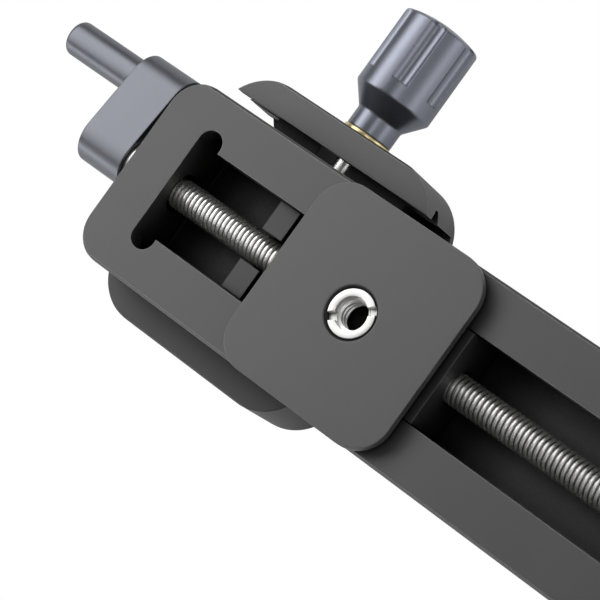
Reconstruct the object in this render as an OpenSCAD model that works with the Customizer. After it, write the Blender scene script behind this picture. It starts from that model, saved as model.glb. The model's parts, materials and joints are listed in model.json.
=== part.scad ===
// Macro focusing rail: a screw-driven carriage on a dovetail rail, held in a quick-release clamp.
// Frame: +X runs along the rail away from the crank, +Y points to the clamp knob, +Z is up.
// The origin is the middle of the tripod socket's mouth, in the underside of the clamp.

/* [Rail] */
// Length of the rail from the crank end to the far end
rail_l = 160; // [140:5:240]
// Width of the rail across its sides
rail_w = 38.4; // [37.6:0.2:44]
// Height of the rail from its foot to its top face
rail_h = 18; // [17.5:0.5:24]
// Radius of the four upright corners of the rail
rail_corner_r = 6.5; // [3:0.5:9]
// Chamfer along the rail's long edges
rail_edge = 0.5; // [0.2:0.1:1]
// How far the dovetail foot falls short of the rail's side
foot_short = 0.2; // [0:0.1:1]
// Height of the upright edge of the dovetail foot
foot_edge_h = 1.6; // [1.2:0.1:1.8]
// Depth of the dovetail notch, also the height of its sloping flank
notch_d = 2.4; // [2:0.1:2.8]
// Gap between the clamp's lips and the step above them, where the rail's full width starts
step_gap = 0.5; // [0.3:0.1:1]
// Width of the open window over the lead screw
window_w = 19; // [17:0.5:20]
// Depth of the channel under the top face
channel_d = 13; // [12.5:0.5:13.5]
// Thickness of the solid wall at each end of the channel
end_wall = 9.4; // [8:0.2:14]
// How far the T slot that guides the carriage reaches under each lip
tee_reach = 3.25; // [2.5:0.25:4]
// Thickness of the lips over the T slot
tee_roof = 4; // [3.5:0.25:4.5]
// Height of the T slot under the lips
tee_h = 4.5; // [4:0.25:5]
// Length along the rail of the cross slot that lets the carriage in
entry_l = 5.2; // [4:0.2:7]
// How far the rail's crank end lies beyond the clamp's middle
rail_back = 26.1; // [25.5:0.1:60]

/* [Lead screw] */
// Outside diameter of the screw thread
screw_d = 6; // [5:0.1:6.2]
// Depth of the screw axis under the rail's top face
screw_drop = 6.5; // [6.2:0.1:6.8]
// Diameter of the plain journal at the crank end
front_journal_d = 5; // [4:0.1:5.2]
// Diameter of the plain journal at the far end
rear_journal_d = 4; // [3:0.1:4.5]
// Length of the journal in the far wall
rear_journal_l = 6; // [4:0.5:7]
// Wall of the plain bearings
bearing_wall = 1.45; // [1:0.05:1.8]
// Thickness of the front bearing's flange
flange_t = 0.9; // [0.6:0.1:1.2]
// How far the front bearing stops short of the channel
bearing_set = 1.5; // [1:0.1:3]

/* [Crank] */
// Gap between the rail's end and the crank arm
crank_gap = 2.05; // [2:0.05:4]
// Thickness of the crank arm along the screw
arm_t = 10.75; // [8:0.05:14]
// Radius of the round ends of the crank arm
arm_r = 5.5; // [4.8:0.1:6]
// Distance between the arm's round ends
arm_span = 13.35; // [12:0.05:25]
// How far the grip's axis lies inside the outer round end's middle
grip_inset = 0.25; // [0:0.05:1]
// Turn of the crank from level, positive lifts the grip
crank_tilt = -8; // [-20:1:20]
// Diameter of the turning grip
grip_d = 7.1; // [6.6:0.1:9]
// Length of the turning grip
grip_l = 18.2; // [13:0.2:30]
// Diameter of the grip's axle
axle_d = 3.5; // [2.5:0.1:4]

/* [Carriage] */
// Length of the carriage plate along the rail
plate_l = 37; // [34:0.5:50]
// How far the carriage plate stands past the rail's side
plate_over = 0.1; // [0:0.1:2]
// Thickness of the carriage plate
plate_t = 3.1; // [2.8:0.1:5]
// Running gap between the plate and the rail's top face
plate_gap = 0.3; // [0.1:0.05:0.4]
// Gap between the shoe and the channel's floor
shoe_gap = 0.8; // [0.3:0.1:1.2]
// Radius of the plate's corners
plate_corner_r = 6.8; // [3:0.2:10]
// Depth of the shadow step round the plate's lower edge
plate_step = 0.8; // [0.4:0.1:1.2]
// Distance from the rail's crank end to the plate
carriage_at = 38.3; // [30:0.1:60]
// How far the shoe reaches past the plate at the far side
shoe_nose = 1.2; // [0.6:0.1:4]
// How far the shoe's tail reaches past the plate at the crank side
tail_reach = 8.4; // [7:0.1:12]
// Length of the two tail blocks
tail_l = 4.7; // [3:0.1:5.5]
// Depth of the tail's top under the rail's face
tail_drop = 2; // [1:0.1:3]
// Thickness of the plastic glide strips
strip_t = 0.8; // [0.5:0.1:1.2]
// Outside diameter of the brass nut
nut_d = 10; // [9:0.1:10.4]
// Diameter of the carriage screws' shanks
small_screw_d = 2; // [1.6:0.1:2.2]

/* [Threaded bushes] */
// Outside diameter of the reducing bush, a 3/8 inch thread
bush_d = 9.2; // [9:0.1:9.5]
// Length of the reducing bush
bush_l = 6; // [5:0.1:6.1]
// Bore of the bush, the tapping size of a 1/4 inch thread
bush_bore_d = 5.1; // [5:0.05:5.5]
// Depth of the camera bush under the plate's top
bush_recess = 0.25; // [0:0.05:0.5]
// Width of the two driver slots in the bush
driver_slot_w = 1.5; // [1:0.1:2]
// Depth of the driver slots
driver_slot_d = 1.2; // [0.8:0.1:2]
// Turn of the driver slots from the rail's direction
driver_slot_angle = 38; // [0:1:180]

/* [Clamp] */
// Length of the clamp along the rail
clamp_l = 49.8; // [46:0.2:60]
// Height of the clamp's floor, on which the rail stands
floor_h = 9; // [7.7:0.1:12]
// Height of the jaw lips above the floor
lip_rise = 5.7; // [5:0.1:6]
// Width of the moving jaw's lip
lip_w = 5.7; // [5.4:0.1:8]
// Width of the fixed jaw's lip
fixed_lip_w = 7.5; // [5:0.1:10]
// Radius of the clamp's upright corners
clamp_corner_r = 10.5; // [4:0.5:12]
// Chamfer along the clamp's long edges
clamp_edge = 0.4; // [0.2:0.1:0.8]
// Play between the rail's foot and the jaws' upright walls
wall_play = 0.35; // [0.2:0.05:0.5]
// How far the jaw stands open from its closed place
jaw_open = 4.8; // [0.8:0.8:4.8]
// Thickness of the moving jaw's foot in front of its wall
jaw_foot = 5.05; // [4:0.05:6]
// Length by which the jaw's foot falls short at each end
foot_inset = 8.9; // [8.4:0.1:9.4]
// Thickness of the ledge under the jaw's foot, which runs on to the end away from the crank
ledge_t = 1.5; // [1:0.1:2]
// Length by which the ledge falls short at the crank's end, at its inner face
ledge_inset = 5.9; // [4:0.1:7]
// Diameter of the guide pins
pin_d = 3; // [2:0.1:3.2]
// Depth of the clamp screw and the pins under the floor
axis_drop = 3.6; // [3.5:0.1:4.2]
// Distance between the guide pins
pin_span = 23; // [20:0.5:24]
// Grip of the guide pins in the base
pin_hold = 4; // [3:0.5:5]
// Depth of the pockets for the jaw springs
pocket_depth = 8; // [6:0.5:8.5]
// Wire of the jaw springs
wire_d = 0.5; // [0.3:0.05:0.6]
// Turns of each jaw spring
spring_turns = 7; // [5:1:9]

/* [Clamp knob] */
// Diameter of the clamp screw
stud_d = 5; // [4:0.1:5.2]
// Distance of the clamp screw from the clamp's middle, along the rail
knob_offset = -0.4; // [-1:0.1:1]
// Wall between the clamp screw's closed place and the tripod bush
stud_wall = 1; // [0.8:0.1:1.5]
// Length of the opening in the jaw's foot, seen beside the clamp screw
notch_l = 4.9; // [4:0.1:6]
// Diameter of the knob's body
knob_d = 16; // [13:0.2:22]
// Length of the knob's body
knob_body_l = 17.2; // [13:0.1:25]
// Length of the knob's cone
knob_cone_l = 4; // [2:0.1:6]
// Length of the knob's neck
knob_neck_l = 3.8; // [3.2:0.1:6]
// Diameter of the knob's neck
knob_neck_d = 9.5; // [8:0.1:12]
// Rise of the knob's domed end
knob_dome = 1.3; // [0.5:0.1:2]
// Number of finger flutes
flute_count = 6; // [4:1:8]
// Radius of the finger flutes
flute_r = 2.1; // [1.5:0.1:4]
// Depth of the finger flutes
flute_depth = 1.1; // [0.5:0.1:1.2]
// Length of the finger flutes from the knob's end
flute_l = 14; // [6:0.1:14.2]
// Turn of the first flute from straight up
flute_turn = 20; // [0:1:60]
// Diameter of the brass washer
washer_d = 10; // [8:0.1:12]
// Thickness of the brass washer
washer_t = 0.9; // [0.4:0.1:1.5]

/* [Fits] */
// Radial gap of turning fits
run_gap = 0.04; // [0.02:0.01:0.08]
// Gap between sliding faces
slide_gap = 0.25; // [0.1:0.05:0.4]
// Gap between the closed dovetail flanks
flank_gap = 0.05; // [0.03:0.01:0.1]
// Fineness of curves
$fn = 96; // [48:12:128]

/* [Hidden] */

// overrun of every cut past the face that it opens
cut = 0.5;

// widths that follow others
foot_w = rail_w - 2 * foot_short;
step_h = lip_rise + step_gap;
tee_w = window_w + 2 * tee_reach;

// heights
rail_z = floor_h + flank_gap;
face_z = rail_z + rail_h;
screw_z = face_z - screw_drop;
lip_z = floor_h + lip_rise;
tee_top = face_z - tee_roof;
tee_bottom = tee_top - tee_h;

// places along the rail
rail_x = -rail_back;
rail_end_x = rail_x + rail_l;
window_x = rail_x + end_wall;
window_end_x = rail_end_x - end_wall;
plate_x = rail_x + carriage_at;
plate_mid_x = plate_x + plate_l / 2;
arm_in_x = rail_x - crank_gap;
arm_out_x = arm_in_x - arm_t;

// carriage
plate_w = rail_w + 2 * plate_over;
shoe_lead = 1.4;
nut_set_share = 0.8;
screw_row_share = 0.35;
plate_z = face_z + plate_gap;
plate_top = plate_z + plate_t;
bush_top = plate_top - bush_recess;
plate_low_share = 0.4;
plate_edge = 0.5;
plate_low_t = plate_t * plate_low_share;
stem_w = window_w - 2 * slide_gap;
wing_w = tee_w - 2 * slide_gap;
wing_top = tee_top - strip_t - run_gap;
wing_bottom = tee_bottom + slide_gap;
shoe_bottom = face_z - channel_d + shoe_gap;
tail_x = plate_x - tail_reach;
tail_end_x = tail_x + tail_l;
shoe_x = plate_x - shoe_lead;
shoe_end_x = plate_x + plate_l + shoe_nose;
tail_slot_w = screw_d + 2 * slide_gap;
tail_web_top = screw_z - screw_d / 2;
nut_x = shoe_x + slide_gap;
nut_fill_share = 0.93;
nut_l = (plate_mid_x - bush_d / 2 - nut_x) * nut_fill_share;
nut_set_x = nut_x + nut_l * nut_set_share;
screw_row_x = plate_l * screw_row_share;
screw_row_y = (nut_d / 2 + stem_w / 2) / 2;
small_head_d = small_screw_d * 1.8;
small_head_h = small_screw_d;
small_screw_tip = plate_z + plate_t * 0.7;
grub_d = small_screw_d * 1.25;

// crank
arm_throw = arm_span - grip_inset;
flange_d = front_journal_d + 3 * bearing_wall;
bearing_end_x = window_x - bearing_set;
thrust_t = crank_gap - flange_t - 3 * run_gap;
journal_reach = arm_t * 0.75;
grub_x = arm_in_x - journal_reach / 2;
grip_gap = slide_gap;
grip_x = arm_out_x - grip_gap;
grip_end_x = grip_x - grip_l;
grip_round = grip_d * 0.18;
axle_end_x = grip_x - grip_l * 0.8;
clip_t = 0.5;
clip_x = axle_end_x + 2 * clip_t;
clip_in_r = axle_d / 2 - clip_t;
clip_out_r = axle_d / 2 + clip_t;
axle_head_d = axle_d * 1.6;
axle_head_h = axle_d * 0.5;

// clamp
lip_share = 0.3;
neck_y = foot_w / 2 - notch_d;
lip_y = neck_y + notch_d * lip_share;
recess_y = foot_w / 2 + wall_play;
flank_sum = foot_w / 2 + foot_edge_h + flank_gap * (1 + sqrt(2));
base_side_y = -lip_y - fixed_lip_w;
jaw_side_y = lip_y + lip_w;
jaw_face_y = recess_y - jaw_foot;
base_face_y = jaw_face_y - slide_gap;
axis_z = floor_h - axis_drop;
spring_r = pin_d / 2 + slide_gap + wire_d / 2;
pocket_r = spring_r + wire_d / 2 + slide_gap;
pocket_y = base_face_y - pocket_depth;
pin_root_y = pocket_y - pin_hold;
pin_wall = 1.2;
ledge_slant_share = 0.9;
ledge_half = clamp_l / 2 - ledge_inset;
end_depth = lip_y - jaw_face_y;
foot_half = clamp_l / 2 - foot_inset;
bush_shoulder = 1.1;
pin_tip_y = jaw_side_y - pin_wall;

// clamp knob
stud_bore_y = bush_d / 2 + stud_wall;
stud_tip_y = stud_bore_y + slide_gap;
washer_y = jaw_side_y + run_gap;
neck_start_y = washer_y + washer_t + run_gap;
cone_y = neck_start_y + knob_neck_l;
body_y = cone_y + knob_cone_l;
knob_end_y = body_y + knob_body_l;
stud_in_knob = knob_neck_l + knob_cone_l;
dome_r = (knob_d * knob_d / 4 + knob_dome * knob_dome) / (2 * knob_dome);

// outline of a rectangle with round corners, from its low corner to its high one
module round_rect(low, high, r) {
  translate([low[0] + r, low[1]]) square([high[0] - low[0] - 2 * r, high[1] - low[1]]);
  translate([low[0], low[1] + r]) square([high[0] - low[0], high[1] - low[1] - 2 * r]);
  for (x = [low[0] + r, high[0] - r], y = [low[1] + r, high[1] - r]) translate([x, y]) circle(r);
}

// a block from its low corner to its high one
module block(low, high) {
  translate(low) cube(high - low);
}

// a cylinder along X from x0 to x1
module rod_x(x0, x1, d, y, z) {
  translate([x0, y, z]) rotate([0, 90, 0]) cylinder(h = x1 - x0, d = d);
}

// a cylinder along Y from y0 to y1
module rod_y(y0, y1, d, x, z) {
  translate([x, y0, z]) rotate([-90, 0, 0]) cylinder(h = y1 - y0, d = d);
}

// a section drawn in Y and Z, drawn out along X
module run_x(x0, x1) {
  translate([x0, 0, 0]) rotate([90, 0, 90]) linear_extrude(x1 - x0) children();
}

// section of the rail from its foot up, without the channel
module rail_section() {
  side = rail_w / 2;
  foot = foot_w / 2;
  half = [
    [foot - rail_edge, 0], [foot, rail_edge], [foot, foot_edge_h],
    [neck_y, foot_edge_h + notch_d], [neck_y, step_h], [side - rail_edge, step_h],
    [side, step_h + rail_edge], [side, rail_h - rail_edge], [side - rail_edge, rail_h]
  ];
  back = [for (i = [len(half) - 1:-1:0]) [-half[i][0], half[i][1]]];
  translate([0, rail_z]) polygon(concat(half, back));
}

// outline of the cross slot, with round ends
module entry_outline() {
  entry_y = tee_w / 2 - entry_l / 2;
  translate([-entry_l / 2, -entry_y]) square([entry_l, 2 * entry_y]);
  for (y = [-entry_y, entry_y]) translate([0, y]) circle(d = entry_l);
}

module rail_body() {
  color("#5c5c5c") difference() {
    intersection() {
      run_x(rail_x, rail_end_x) rail_section();
      translate([0, 0, rail_z]) linear_extrude(rail_h)
        round_rect([rail_x, -rail_w / 2], [rail_end_x, rail_w / 2], rail_corner_r);
    }
    block([window_x, -window_w / 2, face_z - channel_d], [window_end_x, window_w / 2, face_z + cut]);
    block([window_x, -tee_w / 2, tee_bottom], [window_end_x, tee_w / 2, tee_top]);
    translate([window_x + entry_l / 2, 0, tee_bottom]) linear_extrude(tee_h + tee_roof + cut)
      entry_outline();
    rod_x(rail_x - cut, window_x + cut, front_journal_d + 2 * bearing_wall, 0, screw_z);
    rod_x(window_end_x - cut, window_end_x + rear_journal_l + slide_gap,
      rear_journal_d + 2 * bearing_wall, 0, screw_z);
  }
}

module lead_screw() {
  color("#d0cec8") {
    rod_x(bearing_end_x + run_gap, window_end_x - run_gap, screw_d, 0, screw_z);
    rod_x(arm_in_x - journal_reach, bearing_end_x + run_gap, front_journal_d, 0, screw_z);
    rod_x(window_end_x - run_gap, window_end_x + rear_journal_l - slide_gap, rear_journal_d, 0, screw_z);
  }
}

// a plain bearing along X with a bore for a journal
module bearing_x(x0, x1, journal) {
  difference() {
    rod_x(x0, x1, journal + 2 * bearing_wall, 0, screw_z);
    rod_x(x0 - cut, x1 + cut, journal + 2 * run_gap, 0, screw_z);
  }
}

module front_bearing() {
  color("#a87c3c") {
    bearing_x(rail_x, bearing_end_x, front_journal_d);
    difference() {
      rod_x(rail_x - flange_t, rail_x, flange_d, 0, screw_z);
      rod_x(rail_x - flange_t - cut, rail_x + cut, front_journal_d + 2 * run_gap, 0, screw_z);
    }
  }
}

module rear_bearing() {
  color("#a87c3c") bearing_x(window_end_x, window_end_x + rear_journal_l, rear_journal_d);
}

module thrust_washer() {
  x1 = rail_x - flange_t - run_gap;
  color("#c8c8c8") difference() {
    rod_x(x1 - thrust_t, x1, flange_d, 0, screw_z);
    rod_x(x1 - thrust_t - cut, x1 + cut, front_journal_d + 2 * run_gap, 0, screw_z);
  }
}

// turns its children with the crank, about the screw axis
module on_crank() {
  translate([0, 0, screw_z]) rotate([crank_tilt, 0, 0]) translate([0, 0, -screw_z]) children();
}

module crank_arm() {
  color("#7d838f") on_crank() difference() {
    run_x(arm_out_x, arm_in_x) {
      translate([0, screw_z]) circle(arm_r);
      translate([arm_span, screw_z]) circle(arm_r);
      translate([0, screw_z - arm_r]) square([arm_span, 2 * arm_r]);
    }
    rod_x(arm_in_x - journal_reach, arm_in_x + cut, front_journal_d, 0, screw_z);
    rod_x(arm_out_x - cut, arm_in_x + cut, axle_d, arm_throw, screw_z);
    rod_x(arm_in_x - axle_head_h, arm_in_x + cut, axle_head_d, arm_throw, screw_z);
    translate([grub_x, 0, screw_z - arm_r - cut]) cylinder(h = arm_r + cut, d = grub_d);
  }
}

module crank_set_screw() {
  color("#2c2c2e") on_crank() translate([grub_x, 0, 0]) difference() {
    translate([0, 0, screw_z - arm_r + slide_gap])
      cylinder(h = arm_r - slide_gap - front_journal_d / 2, d = grub_d);
    translate([0, 0, screw_z - arm_r]) cylinder(h = arm_r / 3, d = grub_d / 2, $fn = 6);
  }
}

module grip_axle() {
  groove_x = clip_x - clip_t;
  color("#b8b8ba") on_crank() difference() {
    union() {
      rod_x(axle_end_x, arm_in_x, axle_d, arm_throw, screw_z);
      rod_x(arm_in_x - axle_head_h, arm_in_x, axle_head_d, arm_throw, screw_z);
    }
    difference() {
      rod_x(groove_x, clip_x, axle_d + cut, arm_throw, screw_z);
      rod_x(groove_x - cut, clip_x + cut, 2 * clip_in_r, arm_throw, screw_z);
    }
  }
}

module grip_clip() {
  color("#8e8e90") on_crank() difference() {
    rod_x(clip_x - clip_t, clip_x, 2 * clip_out_r, arm_throw, screw_z);
    rod_x(clip_x - clip_t - cut, clip_x + cut, 2 * clip_in_r, arm_throw, screw_z);
  }
}

module crank_grip() {
  tip_r = grip_d / 2 - grip_round;
  color("#7d838f") on_crank() difference() {
    union() {
      rod_x(grip_end_x + grip_round, grip_x, grip_d, arm_throw, screw_z);
      rod_x(grip_end_x, grip_x - grip_round, 2 * tip_r, arm_throw, screw_z);
      translate([grip_end_x + grip_round, arm_throw, screw_z]) rotate([0, 90, 0])
        rotate_extrude() translate([tip_r, 0]) circle(grip_round);
    }
    rod_x(axle_end_x - slide_gap, grip_x + cut, axle_d + 2 * run_gap, arm_throw, screw_z);
    rod_x(clip_x - clip_t - run_gap, clip_x + run_gap, 2 * clip_out_r + 4 * run_gap, arm_throw, screw_z);
  }
}

module carriage_plate() {
  low = [plate_x, -plate_w / 2];
  high = [plate_x + plate_l, plate_w / 2];
  inset = [plate_step, plate_step];
  color("#626262") difference() {
    union() {
      translate([0, 0, plate_z + plate_low_t]) linear_extrude(plate_t - plate_low_t)
        round_rect(low, high, plate_corner_r);
      translate([0, 0, plate_z]) linear_extrude(plate_low_t)
        round_rect(low + inset, high - inset, plate_corner_r - plate_step);
    }
    translate([plate_mid_x, 0, plate_z - cut]) cylinder(h = plate_t + 2 * cut, d = bush_d);
    translate([plate_mid_x, 0, plate_top - plate_edge])
      cylinder(h = 2 * plate_edge, d1 = bush_d, d2 = bush_d + 4 * plate_edge);
    at_carriage_screws() cylinder(h = small_screw_tip - plate_z + cut, d = small_screw_d);
  }
}

// puts its children at the foot of each carriage screw's hole in the plate
module at_carriage_screws() {
  for (x = [-screw_row_x, screw_row_x], y = [-screw_row_y, screw_row_y])
    translate([plate_mid_x + x, y, plate_z - cut]) children();
}

module carriage_shoe() {
  color("#4a4a4a") difference() {
    union() {
      block([shoe_x, -stem_w / 2, shoe_bottom], [shoe_end_x, stem_w / 2, plate_z]);
      block([shoe_x, -wing_w / 2, wing_bottom], [shoe_end_x, wing_w / 2, wing_top]);
      block([tail_x, -stem_w / 2, shoe_bottom], [shoe_x, stem_w / 2, tail_web_top]);
      block([tail_x, -stem_w / 2, shoe_bottom], [tail_end_x, stem_w / 2, face_z - tail_drop]);
    }
    block([tail_x - cut, -tail_slot_w / 2, screw_z], [tail_end_x + cut, tail_slot_w / 2, face_z]);
    rod_x(tail_x - cut, shoe_end_x + cut, tail_slot_w, 0, screw_z);
    rod_x(shoe_x - cut, nut_x + nut_l, nut_d, 0, screw_z);
    translate([plate_mid_x, 0, bush_top - bush_l]) cylinder(h = bush_l, d = bush_d);
    rod_y(-wing_w / 2 - cut, 0, grub_d, nut_set_x, screw_z);
    for (x = [-screw_row_x, screw_row_x], y = [-screw_row_y, screw_row_y])
      translate([plate_mid_x + x, y, shoe_bottom - cut]) {
        cylinder(h = channel_d + 2 * cut, d = small_screw_d + 2 * slide_gap);
        cylinder(h = small_head_h + slide_gap + cut, d = small_head_d + 2 * slide_gap);
      }
  }
}

module glide_strips() {
  inner = window_w / 2 + slide_gap;
  color("#e6e3da") for (side = [-1, 1])
    block([shoe_x, side > 0 ? inner : -wing_w / 2, wing_top],
      [shoe_end_x, side > 0 ? wing_w / 2 : -inner, wing_top + strip_t]);
}

module lead_nut() {
  color("#b5903f") difference() {
    rod_x(nut_x, nut_x + nut_l, nut_d, 0, screw_z);
    rod_x(nut_x - cut, nut_x + nut_l + cut, screw_d + 2 * run_gap, 0, screw_z);
  }
}

module nut_set_screw() {
  tip_y = -nut_d / 2;
  head_y = slide_gap - stem_w / 2;
  color("#2c2c2e") difference() {
    rod_y(head_y, tip_y, grub_d, nut_set_x, screw_z);
    translate([nut_set_x, head_y - cut, screw_z]) rotate([-90, 0, 0])
      cylinder(h = cut + grub_d / 2, d = grub_d / 2, $fn = 6);
  }
}

module carriage_screws() {
  color("#2c2c2e") for (x = [-screw_row_x, screw_row_x], y = [-screw_row_y, screw_row_y])
    translate([plate_mid_x + x, y, shoe_bottom + slide_gap]) difference() {
      union() {
        cylinder(h = small_head_h, d = small_head_d);
        cylinder(h = small_screw_tip - shoe_bottom - slide_gap, d = small_screw_d);
      }
      translate([0, 0, -cut]) cylinder(h = small_head_h / 2 + cut, d = small_screw_d, $fn = 6);
    }
}

// a slotted reducing bush with its slotted face at height z, facing up
module reducing_bush(z) {
  difference() {
    translate([0, 0, z - bush_l]) cylinder(h = bush_l, d = bush_d);
    translate([0, 0, z - bush_l - cut]) cylinder(h = bush_l + 2 * cut, d = bush_bore_d);
    rotate(driver_slot_angle)
      block([-bush_d, -driver_slot_w / 2, z - driver_slot_d], [bush_d, driver_slot_w / 2, z + cut]);
  }
}

module camera_bush() {
  color("#dedcd6") translate([plate_mid_x, 0, 0]) reducing_bush(bush_top);
}

// outline of the whole clamp between two Y places, long ends square and the outer corners round
module clamp_outline(y0, y1) {
  round_rect([-clamp_l / 2, y0], [clamp_l / 2, y1], clamp_corner_r);
}

module clamp_base() {
  tip_z = flank_sum - lip_y;
  section = [
    [base_side_y + clamp_edge, 0], [base_face_y, 0], [base_face_y, floor_h],
    [-recess_y, floor_h], [-recess_y, floor_h + flank_sum - recess_y],
    [-lip_y, floor_h + tip_z], [-lip_y, lip_z],
    [base_side_y + clamp_edge, lip_z], [base_side_y, lip_z - clamp_edge], [base_side_y, clamp_edge]
  ];
  color("#4e4e4e") difference() {
    intersection() {
      run_x(-clamp_l / 2, clamp_l / 2) polygon(section);
      linear_extrude(lip_z) clamp_outline(base_side_y, base_face_y + 2 * clamp_corner_r);
    }
    translate([0, 0, -cut]) cylinder(h = bush_l + cut, d = bush_d);
    translate([0, 0, -cut]) cylinder(h = floor_h + 2 * cut, d = bush_d - 2 * bush_shoulder);
    rod_y(stud_bore_y, base_face_y + cut, stud_d + 2 * run_gap, knob_offset, axis_z);
    for (x = [-pin_span / 2, pin_span / 2]) {
      rod_y(pin_root_y, base_face_y, pin_d, x, axis_z);
      rod_y(pocket_y, base_face_y + cut, 2 * pocket_r, x, axis_z);
    }
  }
}

module tripod_bush() {
  color("#c9c7c1") mirror([0, 0, 1]) reducing_bush(0);
}

module guide_pins() {
  color("#bfbfc1") for (x = [-pin_span / 2, pin_span / 2])
    rod_y(pin_root_y, pin_tip_y, pin_d, x, axis_z);
}

// a helix of round wire along Y as one closed tube, from y0 to y1
module wire_spring(y0, y1, x, z) {
  steps = 8;
  sides = 6;
  rings = spring_turns * steps;
  length = y1 - y0 - wire_d;
  axis = [
    for (i = [0:rings]) let (a = 360 * i / steps)
      [x + spring_r * cos(a), y0 + wire_d / 2 + length * i / rings, z + spring_r * sin(a)]
  ];
  points = [
    for (i = [0:rings]) let (a = 360 * i / steps, y = y0 + wire_d / 2 + length * i / rings)
      for (k = [0:sides - 1]) let (b = 360 * k / sides, out = spring_r + wire_d / 2 * cos(b))
        [x + out * cos(a), y + wire_d / 2 * sin(b), z + out * sin(a)]
  ];
  faces = [
    for (i = [0:rings - 1], k = [0:sides - 1]) let (n = (k + 1) % sides)
      [i * sides + k, (i + 1) * sides + k, (i + 1) * sides + n],
    for (i = [0:rings - 1], k = [0:sides - 1]) let (n = (k + 1) % sides)
      [i * sides + k, (i + 1) * sides + n, i * sides + n],
    for (k = [1:sides - 2]) [0, k, k + 1],
    for (k = [1:sides - 2]) [rings * sides, rings * sides + k + 1, rings * sides + k]
  ];
  echo(spring_gap = min([
    for (i = [0:rings - steps], k = [steps - 1, steps, steps + 1])
      norm(axis[min(i + k, rings)] - axis[i])
  ]) - wire_d);
  polyhedron(points, faces);
}

module jaw_springs() {
  color("#a9a9ab") for (x = [-pin_span / 2, pin_span / 2])
    wire_spring(pocket_y + run_gap, jaw_face_y + jaw_open - run_gap, x, axis_z);
}

module moving_jaw() {
  tip_z = flank_sum - lip_y;
  section = [
    [jaw_face_y, 0], [jaw_side_y - clamp_edge, 0], [jaw_side_y, clamp_edge],
    [jaw_side_y, lip_z - clamp_edge], [jaw_side_y - clamp_edge, lip_z], [lip_y, lip_z],
    [lip_y, floor_h + tip_z], [recess_y, floor_h + flank_sum - recess_y],
    [recess_y, floor_h], [jaw_face_y, floor_h]
  ];
  color("#565656") translate([0, jaw_open, 0]) difference() {
    intersection() {
      run_x(-clamp_l / 2, clamp_l / 2) polygon(section);
      linear_extrude(lip_z) clamp_outline(jaw_face_y - 2 * clamp_corner_r, jaw_side_y);
    }
    for (side = [0, 1]) mirror([side, 0, 0])
      block([foot_half, jaw_face_y - cut, ledge_t], [clamp_l, lip_y, floor_h + cut]);
    translate([0, 0, -cut]) linear_extrude(ledge_t + 2 * cut) polygon([
      [-ledge_half + cut * ledge_slant_share, jaw_face_y - cut],
      [-ledge_half - end_depth * ledge_slant_share, lip_y],
      [-clamp_l, lip_y], [-clamp_l, jaw_face_y - cut]
    ]);
    block([knob_offset - notch_l, jaw_face_y - cut, -cut],
      [knob_offset + stud_d / 2 + slide_gap, recess_y, floor_h + cut]);
    rod_y(jaw_face_y, jaw_side_y + cut, stud_d + 2 * run_gap, knob_offset, axis_z);
    for (x = [-pin_span / 2, pin_span / 2])
      rod_y(jaw_face_y - cut, pin_tip_y + slide_gap, pin_d + 2 * run_gap, x, axis_z);
  }
}

module clamp_screw() {
  color("#b4b4b6") rod_y(stud_tip_y + jaw_open, cone_y + knob_cone_l + jaw_open, stud_d, knob_offset, axis_z);
}

module clamp_knob() {
  flute_at = knob_d / 2 - flute_depth + flute_r;
  color("#6b7280") translate([knob_offset, jaw_open, axis_z]) rotate([-90, 0, 0]) difference() {
    intersection() {
      rotate_extrude() polygon([
        [0, neck_start_y], [knob_neck_d / 2, neck_start_y], [knob_neck_d / 2, cone_y],
        [knob_d / 2, body_y], [knob_d / 2, knob_end_y], [0, knob_end_y]
      ]);
      translate([0, 0, knob_end_y - dome_r]) sphere(dome_r);
    }
    for (i = [0:flute_count - 1])
      rotate(flute_turn - 90 + 360 * i / flute_count)
        translate([flute_at, 0, knob_end_y - flute_l]) cylinder(h = flute_l + cut, r = flute_r);
    translate([0, 0, neck_start_y - cut]) cylinder(h = stud_in_knob + cut, d = stud_d);
    translate([0, 0, neck_start_y + knob_neck_l / 2]) rotate([-90, 0, 0])
      cylinder(h = knob_neck_d, d = grub_d);
  }
}

module knob_washer() {
  color("#c49a45") difference() {
    rod_y(washer_y + jaw_open, washer_y + washer_t + jaw_open, washer_d, knob_offset, axis_z);
    rod_y(washer_y + jaw_open - cut, washer_y + washer_t + jaw_open + cut, stud_d + 2 * run_gap,
      knob_offset, axis_z);
  }
}

module knob_set_screw() {
  color("#2c2c2e") translate([knob_offset, neck_start_y + knob_neck_l / 2 + jaw_open, axis_z])
    rotate([180, 0, 0]) translate([0, 0, stud_d / 2])
      cylinder(h = knob_neck_d / 2 - stud_d / 2 - slide_gap, d = grub_d);
}

rail_body();
lead_screw();
front_bearing();
rear_bearing();
thrust_washer();
crank_arm();
crank_set_screw();
grip_axle();
grip_clip();
crank_grip();
carriage_plate();
carriage_shoe();
glide_strips();
lead_nut();
nut_set_screw();
carriage_screws();
camera_bush();
clamp_base();
tripod_bush();
guide_pins();
jaw_springs();
moving_jaw();
clamp_screw();
clamp_knob();
knob_washer();
knob_set_screw();
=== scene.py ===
# %% [markdown]
# # A macro focusing rail
# A carriage runs along a dovetail rail on a fine screw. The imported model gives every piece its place
# and size. This lesson dresses it: eased edges, real threads, a fluted knob and anodised metal.

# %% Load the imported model
import json
import math
import bpy
import bmesh
from mathutils import Matrix, Vector


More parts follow.
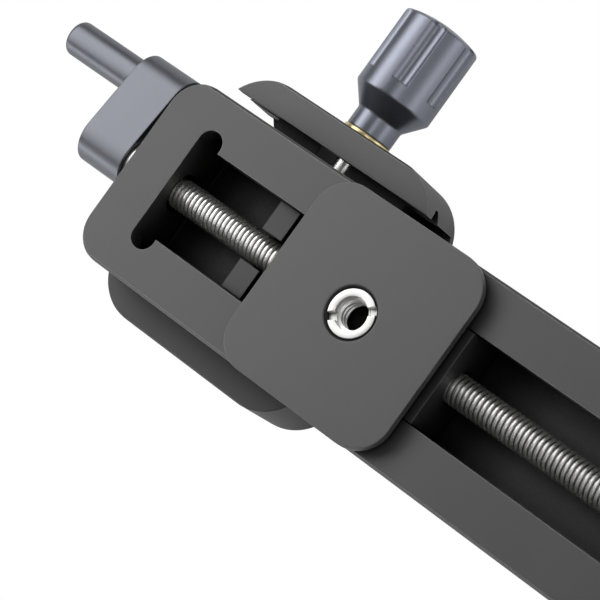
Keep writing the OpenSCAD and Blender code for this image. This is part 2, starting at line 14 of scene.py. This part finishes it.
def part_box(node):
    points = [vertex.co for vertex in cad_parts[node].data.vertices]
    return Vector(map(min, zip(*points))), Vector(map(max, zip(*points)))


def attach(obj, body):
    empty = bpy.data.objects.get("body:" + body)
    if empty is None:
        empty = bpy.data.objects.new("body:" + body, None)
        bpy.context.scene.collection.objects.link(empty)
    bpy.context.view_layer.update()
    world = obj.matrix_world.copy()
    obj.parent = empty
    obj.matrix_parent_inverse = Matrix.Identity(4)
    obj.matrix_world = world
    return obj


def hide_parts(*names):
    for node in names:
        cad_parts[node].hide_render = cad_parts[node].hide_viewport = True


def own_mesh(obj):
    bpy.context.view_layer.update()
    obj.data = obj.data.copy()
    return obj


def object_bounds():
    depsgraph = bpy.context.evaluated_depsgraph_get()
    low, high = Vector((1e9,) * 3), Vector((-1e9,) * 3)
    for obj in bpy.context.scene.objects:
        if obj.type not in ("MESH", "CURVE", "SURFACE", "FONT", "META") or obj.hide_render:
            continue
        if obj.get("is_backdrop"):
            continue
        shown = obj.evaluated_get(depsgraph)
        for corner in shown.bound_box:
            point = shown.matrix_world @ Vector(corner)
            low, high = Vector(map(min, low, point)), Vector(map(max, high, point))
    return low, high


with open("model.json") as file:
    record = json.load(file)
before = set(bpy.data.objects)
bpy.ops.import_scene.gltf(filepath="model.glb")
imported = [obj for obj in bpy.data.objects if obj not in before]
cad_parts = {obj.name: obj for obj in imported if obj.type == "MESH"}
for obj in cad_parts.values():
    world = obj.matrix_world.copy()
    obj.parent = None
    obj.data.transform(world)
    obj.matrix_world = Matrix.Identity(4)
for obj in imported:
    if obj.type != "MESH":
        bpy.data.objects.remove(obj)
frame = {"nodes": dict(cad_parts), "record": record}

MM = 0.001
cad_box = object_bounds()
cad_size = cad_box[1] - cad_box[0]
print("pieces:", len(frame["nodes"]), "size in mm:", [round(v / MM, 1) for v in cad_size])

# %% [markdown]
# ## The camera
# The photograph looks down on the rail from beyond its far end. The lens is long, so the rail's
# edges stay nearly parallel. The roll makes the rail run from upper left to lower right.

# %% Set up the camera
eye = Vector((218.5, -3.7, 401)) * MM
target = Vector((19.5, -3.2, 27.05)) * MM
roll = math.radians(35.6)
photo_width, focal_length = 600, 2437  # in the photograph's pixels
back = (eye - target).normalized()
rail_way = Vector((1, 0, 0))
along = (rail_way - back * rail_way.dot(back)).normalized()
across = back.cross(along)
right = math.cos(roll) * along + math.sin(roll) * across
up = -math.sin(roll) * along + math.cos(roll) * across
camera_data = bpy.data.cameras.new("camera")
camera_data.sensor_width = 36
camera_data.lens = camera_data.sensor_width * focal_length / photo_width
camera_data.clip_start = 0.01
camera = bpy.data.objects.new("camera", camera_data)
camera.matrix_world = Matrix((
    (right.x, up.x, back.x, eye.x), (right.y, up.y, back.y, eye.y),
    (right.z, up.z, back.z, eye.z), (0, 0, 0, 1)))
bpy.context.scene.collection.objects.link(camera)
bpy.context.scene.camera = camera
bpy.context.scene.view_settings.view_transform = "Standard"
print("lens:", round(camera_data.lens, 1), "mm")

# %% [markdown]
# ## Light and floor
# A pale floor lies under the clamp. To the camera it is plain white, as in the photograph, and to
# the metal it is a soft bounce. One large light stands beyond the crank's end. Weaker ones hang
# above, in front and on both sides.

# %% Helpers for shader nodes
def link(tree, value, socket):
    """Sets a socket to a value, or joins another socket to it."""
    if isinstance(value, bpy.types.NodeSocket):
        tree.links.new(value, socket)
    else:
        socket.default_value = value


def add(tree, kind, out=0, settings=None, **inputs):
    """Adds a shader node and returns one of its outputs. Input i6 is number 6, others go by name."""
    node = tree.nodes.new(kind)
    for key, value in (settings or {}).items():
        setattr(node, key, value)
    for key, value in inputs.items():
        by_number = key[0] == "i" and key[1:].isdigit()
        which = int(key[1:]) if by_number else key.replace("_", " ")
        link(tree, value, node.inputs[which])
    return node.outputs[out]


def mix(tree, share, first, second):
    """A colour between first and second."""
    return add(tree, "ShaderNodeMix", 2, {"data_type": "RGBA"}, i0=share, i6=first, i7=second)


WHITE = (1, 1, 1, 1)
print("helpers: link, add, mix")

# %% Make the world
world = bpy.data.worlds.new("studio")
bpy.context.scene.world = world
world.use_nodes = True
tree = world.node_tree
tree.nodes.clear()
direction = add(tree, "ShaderNodeTexCoord", "Generated")
height = add(tree, "ShaderNodeSeparateXYZ", "Z", Vector=direction)
sky = tree.nodes.new("ShaderNodeValToRGB")
link(tree, add(tree, "ShaderNodeMapRange", Value=height, From_Min=-1.0, From_Max=1.0), sky.inputs[0])
sky.color_ramp.elements[0].position = 0.45
sky.color_ramp.elements[0].color = (0.10, 0.10, 0.10, 1)
sky.color_ramp.elements[1].position = 0.95
sky.color_ramp.elements[1].color = (0.12, 0.12, 0.12, 1)
camera_ray = add(tree, "ShaderNodeLightPath", "Is Camera Ray")
colour = mix(tree, camera_ray, sky.outputs[0], WHITE)
ground = add(tree, "ShaderNodeBackground", Color=colour, Strength=1.0)
tree.links.new(ground, tree.nodes.new("ShaderNodeOutputWorld").inputs[0])
print("world nodes:", len(tree.nodes))

# %% Lay the floor
floor_reach, floor_gap, mirrored_glow = 1.2, 0.4 * MM, 0.3
floor_mesh = bpy.data.meshes.new("floor")
build = bmesh.new()
bmesh.ops.create_grid(build, x_segments=1, y_segments=1, size=floor_reach)
build.to_mesh(floor_mesh)
build.free()
floor = bpy.data.objects.new("floor", floor_mesh)
floor.location.z = cad_box[0].z - floor_gap
bpy.context.scene.collection.objects.link(floor)
pale = bpy.data.materials.new("pale_floor")
pale.use_nodes = True
tree = pale.node_tree
tree.nodes.clear()
matt = add(tree, "ShaderNodeBsdfDiffuse", Color=(0.8, 0.8, 0.8, 1))
plain = add(tree, "ShaderNodeEmission", Color=WHITE, Strength=1.0)
seen = add(tree, "ShaderNodeLightPath", "Is Camera Ray")
mirrored = add(tree, "ShaderNodeLightPath", "Is Glossy Ray")
seen = add(tree, "ShaderNodeMath", 0, {"operation": "MULTIPLY_ADD"},
           i0=mirrored, i1=mirrored_glow, i2=seen)
mixed = add(tree, "ShaderNodeMixShader", i0=seen, i1=matt, i2=plain)
tree.links.new(mixed, tree.nodes.new("ShaderNodeOutputMaterial").inputs[0])
floor_mesh.materials.append(pale)
floor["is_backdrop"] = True
print("floor at", round(floor.location.z / MM, 1), "mm")


# %% Set the lights
def soft_light(name, place, aim, size, power):
    """A rectangular area light at place, turned to aim, in millimetres and watts."""
    data = bpy.data.lights.new(name, "AREA")
    data.shape = "RECTANGLE"
    data.size = size[0] * MM
    data.size_y = size[1] * MM
    data.energy = power
    lamp = bpy.data.objects.new(name, data)
    lamp.location = Vector(place) * MM
    lamp.rotation_euler = (Vector(aim) - Vector(place)).to_track_quat("-Z", "Y").to_euler()
    bpy.context.scene.collection.objects.link(lamp)


soft_light("key", (-630, 130, 610), (20, 0, 10), (1500, 400), 4.95)
soft_light("top_card", (-330, 180, 820), (20, 0, 20), (1000, 260), 0.8)
soft_light("front_card", (640, 0, 90), (20, 0, 20), (900, 300), 1.1)
soft_light("glint_card", (170, 40, 390), (10, 0, 15), (240, 80), 0.11)
soft_light("camera_card", (700, 0, 640), (20, 0, 20), (1200, 700), 0.85)
soft_light("near_side", (-280, -520, 90), (20, 0, 15), (700, 150), 0.9)
soft_light("knob_side", (60, 620, 330), (20, 0, 15), (500, 160), 0.3)

# %% [markdown]
# ## Materials
# The big pieces are bead-blasted and anodised aluminium: fine grain, a little cloudiness, and a
# painted highlight, a lighter line where an edge is eased. The blue pieces and the brass carry fine
# lines from the lathe.
# Deep grooves get painted shade: their colour turns darker, since the open sky that a point sees there is
# small.

# %% Describe a metal or plastic surface
MATERIALS = {}
GRAIN, CLOUD_SIZE, RING_DEPTH = 0.12 * MM, 9 * MM, 0.002 * MM


def surface(name, colour, rough, metal, grain_depth=0.004, cloud=0.06, edge=0.0, shade_reach=0.0,
            rings=None, soft=0.3):
    """Keeps a material under its name, sizes in millimetres.

    edge is the strength of a painted highlight on eased edges, the reach of painted shade is how near a
    wall must be for it to darken a groove, rings are the spans of the lathe's lines along x, y and z,
    and soft rounds the light on an edge.
    """
    made = bpy.data.materials.new(name)
    made.use_nodes = True
    tree = made.node_tree
    tree.nodes.clear()
    place = add(tree, "ShaderNodeTexCoord", "Object")
    fine = add(tree, "ShaderNodeTexNoise", "Fac", Vector=place, Scale=1 / GRAIN, Detail=2.0)
    broad = add(tree, "ShaderNodeTexNoise", "Fac", Vector=place, Scale=1 / CLOUD_SIZE, Detail=3.0,
                Roughness=0.6)
    eased = add(tree, "ShaderNodeBevel", settings={"samples": 4}, Radius=soft * MM)
    bump = add(tree, "ShaderNodeBump", Height=fine, Strength=0.35, Distance=grain_depth * MM,
               Normal=eased)
    if rings:
        stretch = [1 / (width * MM) for width in rings]
        lined = add(tree, "ShaderNodeMapping", Vector=place, Scale=stretch)
        lines = add(tree, "ShaderNodeTexNoise", "Fac", Vector=lined, Scale=1.0, Detail=2.0)
        bump = add(tree, "ShaderNodeBump", Height=lines, Strength=0.5, Distance=RING_DEPTH,
                   Normal=bump)
    dark = [c * (1 - cloud) for c in colour] + [1]
    light = [min(1, c * (1 + cloud)) for c in colour] + [1]
    paint = mix(tree, broad, dark, light)
    if edge:
        # painted highlight along eased edges: near an edge the eased normal leans away from
        # the face's own, and there the colour is lightened
        own = add(tree, "ShaderNodeNewGeometry", "Normal")
        turn = add(tree, "ShaderNodeVectorMath", "Value", {"operation": "DOT_PRODUCT"}, i0=own, i1=eased)
        highlight_share = add(tree, "ShaderNodeMapRange", Value=turn, From_Min=0.995, From_Max=0.88, To_Max=edge)
        highlight_colour = [min(1, 0.18 + c * 1.8) for c in colour] + [1]
        paint = mix(tree, highlight_share, paint, highlight_colour)
    if shade_reach:
        # painted shade: the less open sky a point sees, the darker its colour gets
        open_sky = add(tree, "ShaderNodeAmbientOcclusion", "AO", {"samples": 8}, Distance=shade_reach * MM)
        deep = add(tree, "ShaderNodeMapRange", Value=open_sky, From_Min=0.25, From_Max=0.7)
        black = [0.04 * c for c in colour] + [1]
        paint = mix(tree, deep, black, paint)
    gloss = add(tree, "ShaderNodeMapRange", Value=broad, To_Min=rough - 0.05, To_Max=rough + 0.05)
    shader = tree.nodes.new("ShaderNodeBsdfPrincipled")
    link(tree, paint, shader.inputs["Base Color"])
    link(tree, gloss, shader.inputs["Roughness"])
    link(tree, bump, shader.inputs["Normal"])
    shader.inputs["Metallic"].default_value = metal
    tree.links.new(shader.outputs[0], tree.nodes.new("ShaderNodeOutputMaterial").inputs[0])
    MATERIALS[name] = made


print("grain in mm:", round(GRAIN / MM, 2))

# %% Make the materials
# a name, a colour, how rough and how metallic it is, and then its sizes
# the edge value paints a highlight on eased edges, and the groove reach lets painted shade darken grooves
surface("anodised_grey", (0.118, 0.117, 0.117), 0.46, 0.75, edge=0.9, shade_reach=16)
surface("anodised_plate", (0.131, 0.130, 0.130), 0.45, 0.75, edge=0.5, shade_reach=1.3)
surface("anodised_dark", (0.080, 0.080, 0.080), 0.45, 0.7, edge=0.05, shade_reach=14)
surface("anodised_blue", (0.197, 0.205, 0.229), 0.40, 1.0, grain_depth=0.002, rings=(0.4, 30, 30))
surface("anodised_knob", (0.255, 0.268, 0.315), 0.34, 1.0, grain_depth=0.002, rings=(30, 0.4, 30))
surface("steel", (0.96, 0.955, 0.94), 0.27, 0.9, grain_depth=0.001, cloud=0.03, shade_reach=0.5, soft=0.03)
surface("bush_steel", (0.97, 0.965, 0.955), 0.36, 0.85, grain_depth=0.001, cloud=0.03, shade_reach=0.9,
        soft=0.03)
surface("bronze", (0.30, 0.20, 0.10), 0.42, 1.0, shade_reach=3)
surface("brass", (0.95, 0.78, 0.42), 0.3, 1.0, grain_depth=0.001, rings=(30, 0.2, 30))
# painted shade: a near-black laid on the wall of the hole round the camera bush
surface("painted_shade_black", (0.01, 0.01, 0.01), 0.6, 0.0)
surface("black_steel", (0.03, 0.03, 0.032), 0.38, 0.6)
surface("spring_steel", (0.46, 0.46, 0.47), 0.25, 1.0, grain_depth=0.001)
surface("slide_plastic", (0.8, 0.78, 0.72), 0.5, 0.0)
print("materials:", sorted(MATERIALS))

# %% [markdown]
# ## Ways to build a piece
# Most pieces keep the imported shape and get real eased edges. The screws, the bushes and the grip are
# turned from a profile. Threads are swept along their helix.

# %% Helpers that place a piece
record = frame["record"]
SLOTS = {part["node"]: part["material_slot"] for part in record["subparts"]}
BODIES = {node: body for body, nodes in record["behaviour"]["bodies"].items() for node in nodes}
WELD = 0.0005 * MM


def span(node):
    """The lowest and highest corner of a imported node, in millimetres."""
    low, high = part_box(node)
    return low / MM, high / MM


def settle(name, build, node, smooth=35, weighted=True):
    """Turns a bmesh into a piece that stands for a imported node. Edges over smooth degrees are sharp."""
    bmesh.ops.recalc_face_normals(build, faces=build.faces)
    mesh = bpy.data.meshes.new(name)
    build.to_mesh(mesh)
    build.free()
    mesh.shade_smooth()
    mesh.set_sharp_from_angle(angle=math.radians(smooth))
    piece = bpy.data.objects.new(name, mesh)
    bpy.context.scene.collection.objects.link(piece)
    if weighted:
        bend = piece.modifiers.new("flat_faces", "WEIGHTED_NORMAL")
        bend.keep_sharp = True
    mesh.materials.append(MATERIALS[SLOTS[node]])
    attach(piece, BODIES[node])
    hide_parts(node)
    return piece


def ease(node, width, segments=2):
    """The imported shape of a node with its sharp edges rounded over, width in millimetres."""
    flat, sharp = math.radians(1), math.radians(25)
    build = bmesh.new()
    build.from_mesh(frame["nodes"][node].data)
    bmesh.ops.remove_doubles(build, verts=build.verts, dist=WELD)
    bmesh.ops.dissolve_limit(build, angle_limit=flat, verts=build.verts, edges=build.edges)
    edges = [e for e in build.edges if e.is_manifold and e.calc_face_angle(0) > sharp]
    bmesh.ops.bevel(build, geom=edges, offset=width * MM, segments=segments, profile=0.5,
                    affect="EDGES", clamp_overlap=True)
    return settle(node + "_eased", build, node)


# %% Helpers that turn a profile
def rounded(points, radius, steps=3):
    """A polyline of (radius, height) points with its inner corners rounded."""
    made = [points[0]]
    for before, middle, after in zip(points, points[1:], points[2:]):
        p, q, s = Vector(before), Vector(middle), Vector(after)
        reach = min(radius, (p - q).length / 2, (s - q).length / 2)
        start, stop = q + (p - q).normalized() * reach, q + (s - q).normalized() * reach
        for i in range(steps + 1):
            t = i / steps
            made.append(tuple((1 - t) ** 2 * start + 2 * t * (1 - t) * q + t * t * stop))
    return made + [points[-1]]


def frame_on(axis, centre):
    """A matrix that takes +Z to the named axis and the origin to centre, in millimetres."""
    turns = {"x": Matrix.Rotation(math.pi / 2, 4, "Y"),
             "y": Matrix.Rotation(-math.pi / 2, 4, "X"),
             "z": Matrix.Identity(4)}
    return Matrix.Scale(MM, 4) @ Matrix.Translation(centre) @ turns[axis]


def corner(build, place, radius, angle, height):
    """A new corner of the mesh, given by its place round and along the axis."""
    return build.verts.new(place @ Vector((radius * math.cos(angle), radius * math.sin(angle), height)))


def turned(build, profile, place, count=96):
    """Adds a turned surface to build. A profile point is (radius, height along the axis)."""
    rows = []
    for r, h in profile:
        around = count if r else 1
        rows.append([corner(build, place, r, 2 * math.pi * k / count, h) for k in range(around)])
    for a, b in zip(rows, rows[1:]):
        for k in range(count):
            n = (k + 1) % count
            quad = [a[k % len(a)], a[n % len(a)], b[n % len(b)], b[k % len(b)]]
            quad = list(dict.fromkeys(quad))
            if len(quad) > 2:
                build.faces.new(quad)


print("points of a rounded corner:", len(rounded([(0, 0), (1, 0), (1, 1)], 0.2)))

# %% A helper that sweeps a thread
SHARP = [(0, 0.0), (1, 0.26), (1, 0.58), (0, 0.84)]
NARROW = [(0, 0.0), (1, 0.16), (1, 0.4), (0, 0.56)]


def thread(build, place, root, crest, pitch, low, high, steps=40, ends=0.6, gap=None, shape=SHARP):
    """Adds a helical ridge from radius root to radius crest. gap(angle, height) leaves places without a
    ridge.

    A point of shape is (share of the ridge, share of the pitch). The ridge runs out over a share
    of a turn, ends, at both its ends.
    """
    total = int(round((high - low - pitch) / pitch * steps))
    rows = []
    for i in range(total + 1):
        angle = 2 * math.pi * i / steps
        fade = min(1, i / (steps * ends), (total - i) / (steps * ends))
        row = []
        for out, offset in shape:
            h = low + pitch * (i / steps + offset)
            if gap and gap(angle, h):
                fade = 0
            r = root + (crest - root) * out * fade
            row.append(corner(build, place, r, angle, h))
        rows.append(row)
    for i in range(total):
        for k in range(len(shape) - 1):
            build.faces.new((rows[i][k], rows[i + 1][k], rows[i + 1][k + 1], rows[i][k + 1]))
        if i + 1 + steps <= total:
            build.faces.new((rows[i][-1], rows[i + 1][-1], rows[i + steps + 1][0], rows[i + steps][0]))


print("a thread's ridge fills", SHARP[-1][1], "of the pitch outside and", NARROW[-1][1], "inside a bush")

# %% [markdown]
# ## The rail, the carriage and the clamp
# These are milled blocks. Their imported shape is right, so their edges are eased, and so are those of
# the washers, bearings, pins and small screws.

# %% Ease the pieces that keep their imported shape
ease("rail_body", 0.3)
plate = ease("carriage_plate", 0.3)
ease("carriage_shoe", 0.15, 1)
ease("clamp_base", 0.3)
ease("moving_jaw", 0.2)
ease("crank_arm", 0.45, 3)
for small in ("front_bearing", "rear_bearing", "thrust_washer", "lead_nut", "knob_washer"):
    ease(small, 0.12)
for small in ("glide_strips", "crank_set_screw", "grip_axle", "nut_set_screw", "carriage_screws",
              "knob_set_screw", "guide_pins"):
    ease(small, 0.1, 1)

# %% Paint shade on the wall of the hole round the camera bush
# the fine gap round the bush is dark in the photograph
hole_reach = 4.95
bush_low, bush_high = span("camera_bush")
bush_middle = (bush_low + bush_high) / 2
# painted shade: the faces round the hole get a near-black material for the shade in the fine gap
plate.data.materials.append(MATERIALS["painted_shade_black"])
for face in plate.data.polygons:
    if (face.center / MM - bush_middle).xy.length < hole_reach:
        face.material_index = 1
print("black faces:", len([face for face in plate.data.polygons if face.material_index]))

# %% [markdown]
# ## The screws and the bushes
# The lead screw has an M6 thread with a pitch of one millimetre, so one turn of the crank moves the
# carriage by one millimetre. Its plain journals run in the bearings of the end walls. The clamp's
# screw is threaded inside the clamp and plain where the slit shows it. Both bushes have a thread of
# 20 turns to the inch and two driver slots.

# %% Cut the lead screw
low, high = span("lead_screw")
wall_low, wall_high = span("front_bearing")[1].x, span("rear_bearing")[0].x
start_x, stop_x = wall_low + 0.1, wall_high - 0.1
front_r, core_r, rear_r = 2.5, 2.34, 2.0
root_r, crest_r, pitch = 2.32, 3.0, 1.0
place = frame_on("x", (0, 0, (low.z + high.z) / 2))
build = bmesh.new()
profile = rounded([(0, low.x), (front_r, low.x), (front_r, start_x), (core_r, start_x),
                   (core_r, stop_x), (rear_r, stop_x), (rear_r, high.x), (0, high.x)], 0.15)
turned(build, profile, place, 64)
thread(build, place, root_r, crest_r, pitch, wall_low + 0.2, wall_high - 0.2)
screw = settle("lead_screw_cut", build, "lead_screw", 25, False)
print("faces in the lead screw:", len(screw.data.polygons))

# %% Cut the clamp's screw
low, high = span("clamp_screw")
plain_y = span("rail_body")[1].y - 0.4
core_r, plain_r = 2.0, 2.5
root_r, crest_r, pitch = 1.98, 2.5, 0.8
place = frame_on("y", ((low.x + high.x) / 2, 0, (low.z + high.z) / 2))
build = bmesh.new()
profile = rounded([(0, low.y), (core_r, low.y), (core_r, plain_y), (plain_r, plain_y),
                   (plain_r, high.y), (0, high.y)], 0.2)
turned(build, profile, place, 64)
thread(build, place, root_r, crest_r, pitch, low.y + 0.3, plain_y - 0.1)
screw = settle("clamp_screw_cut", build, "clamp_screw", 25, False)
print("faces in the clamp's screw:", len(screw.data.polygons))


# %% Build the two reducing bushes
def bush(name, node, mouth, sign):
    """A ring with an inner thread and two driver slots in its face at height mouth, in millimetres.

    sign is 1 for a bush that opens upward and -1 for one that opens downward.
    """
    bore_r, root_r, crest_r, pitch = 3.1, 3.12, 2.56, 1.27
    slot_half, slot_depth, slot_turn = 0.75, 1.2, math.radians(38 * sign)
    low, high = span(node)
    outer, deep = (high.x - low.x) / 2 - 0.1, high.z - low.z
    place = frame_on("z", ((low.x + high.x) / 2, (low.y + high.y) / 2, mouth))
    place = place @ Matrix.Diagonal((1, 1, sign, 1))
    build = bmesh.new()
    profile = rounded([(bore_r, -deep), (outer - 0.2, -deep), (outer, -deep + 0.2), (outer, -0.1),
                       (outer - 0.1, 0), (bore_r + 0.06, 0), (bore_r, -0.06)], 0.03, 2)
    turned(build, profile + [(bore_r, -deep)], place, 144)
    bmesh.ops.remove_doubles(build, verts=build.verts, dist=WELD)
    piece = settle(name, build, node, 30)

    # the driver slots are cut with a bar that lies across the face
    bar_mesh = bpy.data.meshes.new(name + "_bar")
    build = bmesh.new()
    bar_size = Matrix.Diagonal((3 * outer, 2 * slot_half, 2 * slot_depth, 1))
    bmesh.ops.create_cube(build, size=1.0, matrix=place @ Matrix.Rotation(slot_turn, 4, "Z") @ bar_size)
    build.to_mesh(bar_mesh)
    build.free()
    bar = bpy.data.objects.new(name + "_bar", bar_mesh)
    bpy.context.scene.collection.objects.link(bar)
    cut = piece.modifiers.new("slots", "BOOLEAN")
    cut.object = bar
    cut.operation = "DIFFERENCE"
    cut.solver = "EXACT"
    piece.modifiers.move(1, 0)  # before the one for the flat faces
    bpy.context.view_layer.update()
    shaped = bpy.data.meshes.new_from_object(piece.evaluated_get(bpy.context.evaluated_depsgraph_get()))
    piece.modifiers.clear()
    bpy.data.objects.remove(bar)

    def in_slot(angle, height):
        return abs(math.sin(angle - slot_turn)) * bore_r < slot_half + 0.1 and height > -slot_depth - 0.1

    build = bmesh.new()
    build.from_mesh(shaped)
    thread(build, place, root_r, crest_r, pitch, -deep + 0.2, -0.1, 48, 0.5, in_slot, NARROW)
    build.to_mesh(shaped)
    build.free()
    shaped.shade_smooth()
    shaped.set_sharp_from_angle(angle=math.radians(30))
    piece.data = shaped
    print(name, "has", len(shaped.polygons), "faces")


bush("camera_bush_cut", "camera_bush", span("camera_bush")[1].z, 1)
bush("tripod_bush_cut", "tripod_bush", span("tripod_bush")[0].z, -1)

# %% [markdown]
# ## The clamp's springs and knob
# Each spring is one wire wound round a guide pin; on the real clamp it shortens as the jaw closes.
# The knob's mesh is a stack of rings. Where it is gripped, each ring is a circle with the flutes taken
# out of it.

# %% Wind the springs
low, high = span("jaw_springs")
pin_low, pin_high = span("guide_pins")
pin_r, outer = 1.5, (high.z - low.z) / 2
wire, turns, ring, sides = 0.25, 7, 28, 10
flat, lie = 0.75, 0.9  # the turns that lie flat at each end, and how far apart, in wires
length = high.y - low.y
build = bmesh.new()
for pin_x in (pin_low.x + pin_r, pin_high.x - pin_r):
    place = frame_on("y", (pin_x, 0, (low.z + high.z) / 2))
    rows = []
    for i in range(turns * ring + 1):
        done = i / ring
        rise = min(1, max(0, (done - flat) / (turns - 2 * flat)))
        h = low.y + wire + 2 * wire * min(1, done / flat) * lie + (length - (2 + 4 * lie) * wire) * rise
        h += 2 * wire * max(0, (done - turns + flat) / flat) * lie
        row = []
        for k in range(sides):
            a = 2 * math.pi * k / sides
            r = outer - wire + wire * math.cos(a)
            row.append(corner(build, place, r, 2 * math.pi * i / ring, h + wire * math.sin(a)))
        rows.append(row)
    for a, b in zip(rows, rows[1:]):
        for k in range(sides):
            build.faces.new((a[k], a[(k + 1) % sides], b[(k + 1) % sides], b[k]))
    build.faces.new(rows[0])
    build.faces.new(rows[-1])
springs = settle("jaw_springs_wound", build, "jaw_springs", 60, False)
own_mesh(springs)

# %% Measure the knob and its flutes
low, high = span("clamp_knob")
knob_r, neck_y, end_y = (high.x - low.x) / 2, low.y, high.y
neck_r, neck_l = 4.75, 3.8
cone_l, dome = 4.0, 1.3
flutes, flute_turn = 6, 20
flute_r, flute_deep, flute_l = 2.1, 1.1, 14.0
flute_at = knob_r - flute_deep + flute_r
half_flute = math.acos((knob_r ** 2 + flute_at ** 2 - flute_r ** 2) / (2 * knob_r * flute_at))
dome_r = (knob_r ** 2 + dome ** 2) / (2 * dome)


def flute_radius(away):
    """How far the knob's side lies from its axis at an angle from a flute's middle, if in a flute."""
    if away is None:
        return knob_r
    inside = flute_r ** 2 - (flute_at * math.sin(away)) ** 2
    return min(knob_r, flute_at * math.cos(away) - math.sqrt(max(0, inside)))


def dome_y(r):
    """How far along its axis the knob's domed end lies at radius r."""
    return end_y - dome_r + math.sqrt(dome_r ** 2 - r * r)


print("a flute spans", round(math.degrees(2 * half_flute), 1), "degrees of the knob")

# %% Turn and flute the knob
across_flute = (-1, -0.985, -0.8, -0.6, -0.4, -0.2, 0, 0.2, 0.4, 0.6, 0.8, 0.985, 1)
land, land_steps = 2 * math.pi / flutes - 2 * half_flute, 12
angles = []
for i in range(flutes):
    middle = math.radians(flute_turn - 90 + 360 * i / flutes)
    angles += [(middle + half_flute * t, half_flute * t) for t in across_flute]
    angles += [(middle + half_flute + land * t / land_steps, None) for t in range(1, land_steps)]
body_y, start_y = neck_y + neck_l + cone_l, end_y - flute_l
plain = rounded([(0, neck_y), (neck_r, neck_y), (neck_r, neck_y + neck_l), (knob_r, body_y),
                 (knob_r, body_y + 2)], 0.35)
side = [flute_radius(away) for _, away in angles]
flute_step, rim, dome_inset = 0.12, 0.45, 0.75
# a row is (radii, height), and a row without a height lies on the dome
rows = [([r] * len(angles), h) for r, h in plain[1:]]
rows.append(([knob_r] * len(angles), start_y))
rows.append((side, start_y + flute_step))
rows.append((side, dome_y(knob_r) - rim))
rows.append(([r - 0.12 for r in side], dome_y(knob_r) - 0.15))
for inset in (rim, dome_inset):
    rows.append(([r - inset for r in side], None))
for share in (0.8, 0.6, 0.4, 0.2, 0.05):
    rows.append(([(r - dome_inset) * share for r in side], None))
place = frame_on("y", ((low.x + high.x) / 2, 0, (low.z + high.z) / 2))
build = bmesh.new()
made = []
for radii, h in rows:
    made.append([corner(build, place, r, angle, dome_y(r) if h is None else h)
                 for r, (angle, _) in zip(radii, angles)])
for a, b in zip(made, made[1:]):
    for k in range(len(a)):
        n = (k + 1) % len(a)
        build.faces.new((a[k], a[n], b[n], b[k]))
build.faces.new(made[0])
build.faces.new(made[-1])
knob = settle("clamp_knob_turned", build, "clamp_knob", 24)
print("faces in the knob:", len(knob.data.polygons))

# %% [markdown]
# ## The crank's grip
# The grip turns freely on its axle, and a spring clip keeps it there.

# %% Turn the grip
low, high = span("crank_grip")
grip_r, lip, bore_r, bore_l, round_end = (high.y - low.y) / 2, 0.25, 1.8, 3, 1.0
place = frame_on("x", (0, (low.y + high.y) / 2, (low.z + high.z) / 2))
build = bmesh.new()
profile = rounded([(0, low.x), (grip_r, low.x), (grip_r, high.x), (grip_r - lip, high.x),
                   (bore_r, high.x), (bore_r, high.x - bore_l), (0, high.x - bore_l)], round_end, 6)
turned(build, profile, place)
grip = settle("crank_grip_turned", build, "crank_grip", 30)
ease("grip_clip", 0.05, 1)
print("faces in the grip:", len(grip.data.polygons))

# %% [markdown]
# ## Finish
# The visual model's box is measured and compared with the imported one.

# %% Print how far the sizes have grown
seen_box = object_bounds()
cad_sides, seen_sides = [*cad_box[0], *cad_box[1]], [*seen_box[0], *seen_box[1]]
print("grown by, in mm:", [round((s - c) / MM, 2) for c, s in zip(cad_sides, seen_sides)])
